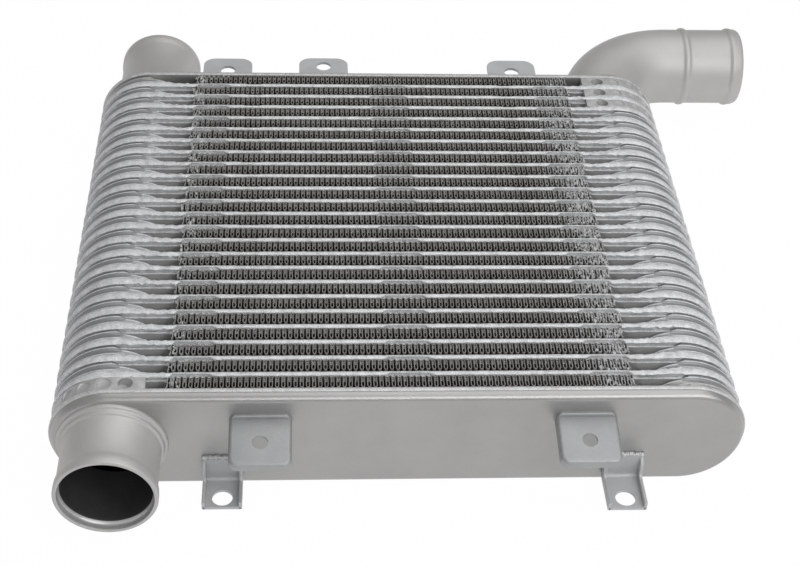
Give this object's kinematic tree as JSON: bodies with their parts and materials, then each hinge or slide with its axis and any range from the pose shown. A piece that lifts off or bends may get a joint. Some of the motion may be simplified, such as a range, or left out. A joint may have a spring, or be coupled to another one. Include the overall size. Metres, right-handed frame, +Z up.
{
  "type": "intercooler",
  "caption": "Flat charge air cooler: brazed tube plates with folded fins between round headers, straight hose stubs, a bent outlet and fixing lugs.",
  "frame": {"origin": "middle of the underside of the whole part's bounding box", "axes": "+Z up, out of the flat core; -Y the way the front hose stub points; +X the way the outlet elbow points"},
  "size_m": [0.502, 0.4874, 0.076],
  "materials": {
    "tube_plate": "brazed plate, dull silver grey with rough bright rims",
    "fin_sheet": "thin louvred sheet, dull grey, darker from use",
    "end_plate": "pressed sheet, even satin grey",
    "pipe": "formed tube, satin grey",
    "spacer": "solid block, satin grey",
    "bracket": "folded sheet, satin grey"
  },
  "bodies": {
    "root": {"tube_01": "tube_plate", "tube_02": "tube_plate", "tube_03": "tube_plate", "tube_04": "tube_plate", "tube_05": "tube_plate", "tube_06": "tube_plate", "tube_07": "tube_plate", "tube_08": "tube_plate", "tube_09": "tube_plate", "tube_10": "tube_plate", "tube_11": "tube_plate", "tube_12": "tube_plate", "tube_13": "tube_plate", "tube_14": "tube_plate", "tube_15": "tube_plate", "tube_16": "tube_plate", "tube_17": "tube_plate", "tube_18": "tube_plate", "tube_19": "tube_plate", "tube_20": "tube_plate", "tube_21": "tube_plate", "tube_22": "tube_plate", "tube_23": "tube_plate", "fin_row_01": "fin_sheet", "fin_row_02": "fin_sheet", "fin_row_03": "fin_sheet", "fin_row_04": "fin_sheet", "fin_row_05": "fin_sheet", "fin_row_06": "fin_sheet", "fin_row_07": "fin_sheet", "fin_row_08": "fin_sheet", "fin_row_09": "fin_sheet", "fin_row_10": "fin_sheet", "fin_row_11": "fin_sheet", "fin_row_12": "fin_sheet", "fin_row_13": "fin_sheet", "fin_row_14": "fin_sheet", "fin_row_15": "fin_sheet", "fin_row_16": "fin_sheet", "fin_row_17": "fin_sheet", "fin_row_18": "fin_sheet", "fin_row_19": "fin_sheet", "fin_row_20": "fin_sheet", "fin_row_21": "fin_sheet", "fin_row_22": "fin_sheet", "fin_row_23": "fin_sheet", "fin_row_24": "fin_sheet", "front_end_plate": "end_plate", "rear_end_plate": "end_plate", "front_hose_stub": "pipe", "rear_hose_stub": "pipe", "outlet_elbow": "pipe", "front_header_spacer": "spacer", "rear_header_spacer_1": "spacer", "rear_header_spacer_2": "spacer", "rear_header_spacer_3": "spacer", "left_shelf_bracket": "bracket", "right_shelf_bracket": "bracket", "left_foot_bracket": "bracket", "right_foot_bracket": "bracket"}
  },
  "joints": []
}
